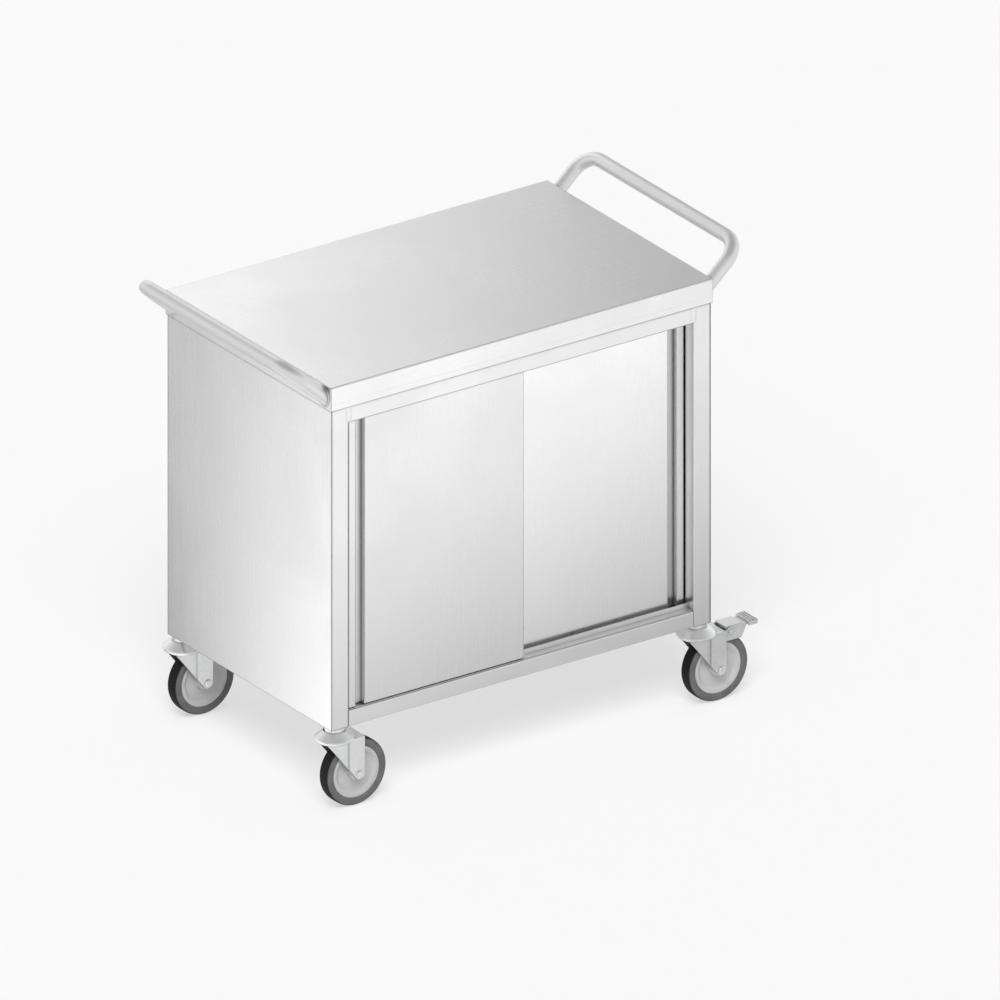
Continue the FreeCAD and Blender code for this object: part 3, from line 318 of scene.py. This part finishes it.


# Sliding doors
# Folded stainless skins with a pressed finger pull near the outer edge, over a plain back pan.
# The left door hangs in the front channel, the right one in the rear channel.

# The doors share one steel; the left door is painted darker than the right as painted shade.
DOOR_PAINTED_PALE = {"left_door": 0.75, "right_door": 0.86}
DOOR_GRAIN_CONTRAST = 0.04
# The finger pull is darkened with depth as painted shade, more deeply on the right door.
PULL_PAINTED_SHADE = {"left_door": 0.84, "right_door": 0.64}
PULL_DEPTH = 0.010
PULL_PAINTED_SHADE_STARTS = 0.15 * PULL_DEPTH
PULL_PAINTED_SHADE_ENDS = 0.95 * PULL_DEPTH
for door, pale in DOOR_PAINTED_PALE.items():
    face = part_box(f"{door}_front")[0][1]
    pull = (face + PULL_PAINTED_SHADE_STARTS, face + PULL_PAINTED_SHADE_ENDS, PULL_PAINTED_SHADE[door])
    deep = pale - DOOR_GRAIN_CONTRAST
    door_steel = satin_steel(f"{door} satin steel", GRAIN_UPRIGHT, (pale,) * 3, (deep,) * 3,
                             rough=0.28, crevice=0.68, hollow=pull)
    dress(door_steel, f"{door}_front", f"{door}_back")


# Door hangers, rollers, guide shoes and buffers
# Bent plates with riveted axles carry nylon rollers on the track; nylon shoes ride the ribs.
# Rubber dots on the posts take the door's edge.

MOULDED_EDGE = 0.0008
SPECK_SHINE = 0.06


def moulded(name, pale, deep, rough, speck):
    """Moulded plastic or rubber: fine speckle, slow tone drift, matt skin, soft edges."""
    material, add = new_material(name)
    place = place_of(add)
    grain = noise(add, place, scale=speck, detail=3.0)
    drift = noise(add, place, scale=30.0, detail=2.0)
    tint = two_tone(add, ranged(add, drift, 0.0, 1.0, start=0.3, end=0.7), deep, pale)
    relief = add("ShaderNodeBump", {"Height": grain, "Normal": rounded_edge(add, MOULDED_EDGE),
                                    "Strength": 0.25, "Distance": 0.0001})
    shine = ranged(add, grain, rough - SPECK_SHINE, rough + SPECK_SHINE, start=0.3, end=0.7)
    set_surface(add, {"Base Color": tint, "Roughness": shine, "Normal": relief.outputs["Normal"]})
    return material


nylon = moulded("natural nylon", pale=(0.80, 0.80, 0.77), deep=(0.72, 0.72, 0.68),
                rough=0.45, speck=900.0)
black_rubber = moulded("black rubber", pale=(0.030, 0.030, 0.031), deep=(0.018, 0.018, 0.018),
                       rough=0.75, speck=1500.0)
for door in DOOR_PAINTED_PALE:
    dress(track_steel, f"{door}_hangers")
    dress(nylon, f"{door}_roller_1", f"{door}_roller_2", f"{door}_guides")
dress(black_rubber, "door_buffers")


# Handles
# Bent stainless tube, polished by hands, each foot welded all round to the end skirt.
# The weld beads are low rippled rings around the slanted tube ends.

handle_steel = satin_steel("polished handle tube", grain=(300.0, 40.0, 300.0),
                           pale=(0.74, 0.74, 0.74), deep=(0.70, 0.70, 0.705),
                           rough=0.43, crevice=0.70)
weld_steel = satin_steel("ground weld", grain=(700.0, 700.0, 700.0), pale=(0.80, 0.80, 0.80),
                         deep=(0.62, 0.61, 0.60), rough=0.38, edge=0.0003, crevice=0.80)
dress(handle_steel, "left_handle", "right_handle")

SKIRT_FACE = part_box("worktop")[1][0]
FOOT_HALF_SPAN = 0.230
FOOT_LEVEL = 0.782
TUBE_RADIUS = 0.0125
HANDLE_REACH = 0.070
HANDLE_RISE = 0.063
BEAD_RADIUS = 0.0016
BEAD_RIPPLES = 40
BEAD_SWELL = 0.14
BEAD_STEPS = 120
BEAD_SIDES = 10


def weld_bead(name, side, foot_y):
    """A ring round the slanted tube end, half a bead outside the tube's outline on the skirt face:
    an ellipse as wide as the tube and stretched upright by one over the cosine of the slope. Its
    round section swells and shrinks in small ripples along the ring. The order of points is
    turned on the right, so that the faces point outwards there too."""
    turn = np.linspace(0.0, 2.0 * np.pi, BEAD_STEPS, endpoint=False)[:, None]
    section = np.linspace(0.0, 2.0 * np.pi, BEAD_SIDES, endpoint=False)[None, :]
    ripple = BEAD_RADIUS * (1.0 + BEAD_SWELL * np.cos(BEAD_RIPPLES * turn))
    outward = ripple * (0.5 + np.cos(section))
    tall = TUBE_RADIUS / math.cos(math.atan2(HANDLE_RISE, HANDLE_REACH))
    points = np.stack([side * (SKIRT_FACE + ripple * np.sin(section)),
                       foot_y + (TUBE_RADIUS + outward) * np.cos(turn),
                       FOOT_LEVEL + (tall + outward) * np.sin(turn)], axis=-1)
    if side > 0:
        points = points[::-1]
    return surface_mesh(name, points, close_first=True, close_second=True)


for side, end in ((-1, "left"), (1, "right")):
    for foot, foot_y in (("front", -FOOT_HALF_SPAN), ("rear", FOOT_HALF_SPAN)):
        bead = weld_bead(f"{end}_handle_{foot}_weld", side, foot_y)
        finish_piece(bead, weld_steel, "cabinet")


# Castor heads and forks
# Stems in rubber expanders, pressed domes over the ball rings, pressed forks and axle bolts.
# All bright zinc over steel.

zinc = satin_steel("bright zinc plate", grain=(120.0, 120.0, 120.0), pale=(0.88, 0.885, 0.89),
                   deep=(0.81, 0.815, 0.82), rough=0.32, edge=0.0010, crevice=0.75)
CASTORS = ("front_left", "front_right", "rear_left", "rear_right")
BRAKED = ("front_right", "rear_right")
dress(zinc, "castor_stems", "castor_domes", "swivel_balls")
dress(black_rubber, "castor_expanders")
for castor in CASTORS:
    dress(zinc, f"{castor}_fork", f"{castor}_axle")
for castor in BRAKED:
    dress(zinc, f"{castor}_pedal", f"{castor}_pedal_pin")


# Wheels
# Moulded light grey discs with a shallow dish, turning on a bush.
# Each carries a solid rubber tyre, grey on its walls, with its tread painted black as painted
# shade.

wheel_plastic = moulded("light grey polyamide", pale=(0.56, 0.56, 0.56), deep=(0.48, 0.48, 0.48),
                        rough=0.42, speck=700.0)
WALL_DEEP = (0.125, 0.125, 0.127)
WALL_PALE = (0.165, 0.165, 0.165)
# The tread's near-black colour is painted shade.
TREAD_PAINTED_SHADE = (0.007, 0.007, 0.007)
WHEEL_RADIUS = 0.0625
TYRE_SEAT = 0.0475
TYRE_HALF = 0.013
RIM_HALF = 0.0108
WALL_BULGE = ((0.0486, 0.0121), (0.0500, 0.0127), (0.0520, TYRE_HALF))
SHOULDER_ROUND = 0.005
CROWN_DROP = 0.0002
TREAD_STARTS = 0.0595
TREAD_BLEND = 0.0020
SHOULDER_STEPS = 9
CROWN_STEPS = 6
TYRE_STEPS = 160


def tyre_rubber(name):
    """Solid rubber: grey moulded walls and a tread painted near black as painted shade."""
    material, add = new_material(name)
    place = place_of(add)
    tread = add("ShaderNodeAttribute", attribute_name="tread").outputs["Fac"]
    grain = noise(add, place, scale=1400.0, detail=3.0)
    dust = noise(add, place, scale=60.0, detail=4.0)
    dusty = ranged(add, dust, 0.0, 1.0, start=0.3, end=0.7)
    wall = two_tone(add, dusty, WALL_DEEP, WALL_PALE)
    relief = add("ShaderNodeBump", {"Height": grain, "Strength": 0.35, "Distance": 0.0001})
    set_surface(add, {"Base Color": two_tone(add, tread, wall, TREAD_PAINTED_SHADE),
                      "Specular IOR Level": 0.15,
                      "Roughness": ranged(add, grain, 0.58, 0.74, start=0.3, end=0.7),
                      "Normal": relief.outputs["Normal"]})
    return material


def tyre_section():
    """Closed outline of the tyre as radius and sideways place: seat, bulged wall, a quarter
    circle for the shoulder, a tread crowned by a parabola, and the same mirrored."""
    tread_half = TYRE_HALF - SHOULDER_ROUND
    turn = np.linspace(0.0, 0.5 * np.pi, SHOULDER_STEPS)
    across = np.linspace(tread_half, 0.0, CROWN_STEPS)[1:]
    wall = np.array([(TYRE_SEAT, RIM_HALF), *WALL_BULGE])
    shoulder_radius = WHEEL_RADIUS - CROWN_DROP - SHOULDER_ROUND * (1.0 - np.sin(turn))
    shoulder = np.stack([shoulder_radius, tread_half + SHOULDER_ROUND * np.cos(turn)], axis=-1)
    crown = np.stack([WHEEL_RADIUS - CROWN_DROP * (across / tread_half) ** 2, across], axis=-1)
    half = np.concatenate([wall, shoulder, crown])
    return np.concatenate([half, half[-2::-1] * np.array([1.0, -1.0])])


def wheel_turned(name, section, centre):
    """A section carried round the axle: radius swings in X and Z, sideways place stays along Y."""
    angle = np.linspace(0.0, 2.0 * np.pi, TYRE_STEPS, endpoint=False)[:, None]
    radius, aside = section[None, :, 0], section[None, :, 1]
    points = np.stack([centre[0] + radius * np.cos(angle),
                       centre[1] + aside * np.ones_like(angle),
                       centre[2] + radius * np.sin(angle)], axis=-1)
    return surface_mesh(name, points, close_first=True, close_second=True)


rubber = tyre_rubber("castor tyre rubber")
section = tyre_section()
on_tread = np.clip((section[:, 0] - TREAD_STARTS) / TREAD_BLEND, 0.0, 1.0)
for castor in CASTORS:
    dress(wheel_plastic, f"{castor}_rim")
    low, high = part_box(f"{castor}_tyre")
    centre = [(a + b) / 2 for a, b in zip(low, high)]
    tyre = wheel_turned(f"{castor}_tyre_moulded", section, centre)
    layer = tyre.data.attributes.new("tread", "FLOAT", "POINT")
    layer.data.foreach_set("value", np.tile(on_tread, TYRE_STEPS))
    finish_piece(tyre, rubber, f"{castor}_wheel")
    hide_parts(f"{castor}_tyre")


# Studio
# A pale floor that keeps the soft shadow, a white surround and one broad lamp.
# Four cards with a slow fall of light, shown only in gloss, shade the flat steel faces.
# The camera looks down from the front left with no perspective, as in the picture.

def plane(name, start, end, run):
    """A flat sheet: the edge from start to end, carried along a run."""
    corners = [start, end, np.add(end, run), np.add(start, run)]
    mesh = bpy.data.meshes.new(name)
    mesh.from_pydata(np.array(corners, dtype=float), [], [(0, 1, 2, 3)])
    sheet = bpy.data.objects.new(name, mesh)
    scene.collection.objects.link(sheet)
    return sheet


def shown(add):
    """1 for rays from the camera, from gloss or through glass, else 0."""
    rays = add("ShaderNodeLightPath").outputs
    seen = reckon(add, "MAXIMUM", rays["Is Camera Ray"], rays["Is Glossy Ray"])
    return reckon(add, "MAXIMUM", seen, rays["Is Transmission Ray"])


WHITE = (1.0, 1.0, 1.0, 1.0)
FLOOR_PAINT = (0.94, 0.94, 0.94, 1.0)
FLOOR_LIFT = 0.55
FLOOR_REACH = 12.0
floor = plane("studio_floor", (-FLOOR_REACH, -FLOOR_REACH, 0.0), (FLOOR_REACH, -FLOOR_REACH, 0.0),
              (0.0, 2.0 * FLOOR_REACH, 0.0))
floor_paint, add = new_material("studio floor")
paint = add("ShaderNodeBsdfDiffuse", {"Color": FLOOR_PAINT})
white = add("ShaderNodeEmission", {"Color": WHITE, "Strength": 1.0})
both = add("ShaderNodeMixShader", {0: ranged(add, shown(add), 0.0, FLOOR_LIFT),
                                   1: paint.outputs[0], 2: white.outputs[0]})
add("ShaderNodeOutputMaterial", {"Surface": both.outputs[0]})
floor.data.materials.append(floor_paint)


def graded_card(name, start, end, run, slope, level, low, high):
    """A card that only shows in gloss: its glow is level plus slope times place, kept within
    low and high."""
    material, add = new_material(name)
    along = add("ShaderNodeVectorMath", {0: place_of(add), 1: slope}, operation="DOT_PRODUCT")
    strength = ranged(add, along.outputs["Value"], low, high, low - level, high - level)
    glow = add("ShaderNodeEmission", {"Color": WHITE, "Strength": strength})
    add("ShaderNodeOutputMaterial", {"Surface": glow.outputs[0]})
    card = plane(name, start, end, run)
    card.data.materials.append(material)
    card.visible_camera = False
    card.visible_diffuse = False
    card.visible_shadow = False


graded_card("rear_card", (-0.1, 1.6, 1.15), (2.4, 1.6, 1.15), (0.0, 0.0, 1.45),
            slope=(-0.67, 0.0, 0.0), level=1.66, low=0.45, high=1.45)
graded_card("left_card", (-0.46, -0.56, 0.004), (-0.46, 0.74, 0.004), (-1.26, 1.81, 0.0),
            slope=(-2.465, -1.708, 0.0), level=-0.06, low=0.42, high=1.42)
graded_card("front_card", (-0.74, -0.34, 0.004), (0.86, -0.34, 0.004), (1.29, -1.86, 0.0),
            slope=(-0.33, -0.87, 0.0), level=0.262, low=0.45, high=1.52)
graded_card("back_card", (-2.2, 0.45, 0.002), (2.8, 0.45, 0.002), (0.0, 2.35, 0.0),
            slope=(0.03, -0.20, 0.0), level=1.04, low=0.55, high=0.95)

AMBIENT_LEVEL = 0.45
world = bpy.data.worlds.new("studio surround")
world.use_nodes = True
scene.world = world
add = node_adder(world.node_tree)
direction = add("ShaderNodeTexCoord").outputs["Generated"]
upward = add("ShaderNodeSeparateXYZ", {"Vector": direction}).outputs["Z"]
seen_level = ranged(add, upward, 1.0, 0.5, start=0.40, end=0.85)
level = ranged(add, shown(add), AMBIENT_LEVEL, seen_level)
sky = add("ShaderNodeBackground", {"Color": WHITE, "Strength": level})
add("ShaderNodeOutputWorld", {"Surface": sky.outputs[0]})

KEY_TILT = math.radians(38)
KEY_TURN = math.radians(-37.6)
lamp = bpy.data.lights.new("broad key", "SUN")
lamp.energy = 2.0
lamp.angle = math.radians(30)
key = bpy.data.objects.new("broad key", lamp)
key.rotation_euler = (KEY_TILT, 0.0, KEY_TURN)
key.visible_glossy = False
scene.collection.objects.link(key)

AZIMUTH = math.radians(-34.76)
ELEVATION = math.radians(24.5)
AIM = np.array([0.1714, 0.0636, 0.3288])
CAMERA_DISTANCE = 4.0
PICTURE_WIDTH = 1.7194
towards_camera = np.array([math.sin(AZIMUTH) * math.cos(ELEVATION),
                           -math.cos(AZIMUTH) * math.cos(ELEVATION), math.sin(ELEVATION)])
lens = bpy.data.cameras.new("studio camera")
lens.type = "ORTHO"
lens.ortho_scale = PICTURE_WIDTH
camera = bpy.data.objects.new("studio camera", lens)
camera.location = AIM + towards_camera * CAMERA_DISTANCE
camera.rotation_euler = (math.pi / 2 - ELEVATION, 0.0, AZIMUTH)
scene.collection.objects.link(camera)
scene.camera = camera
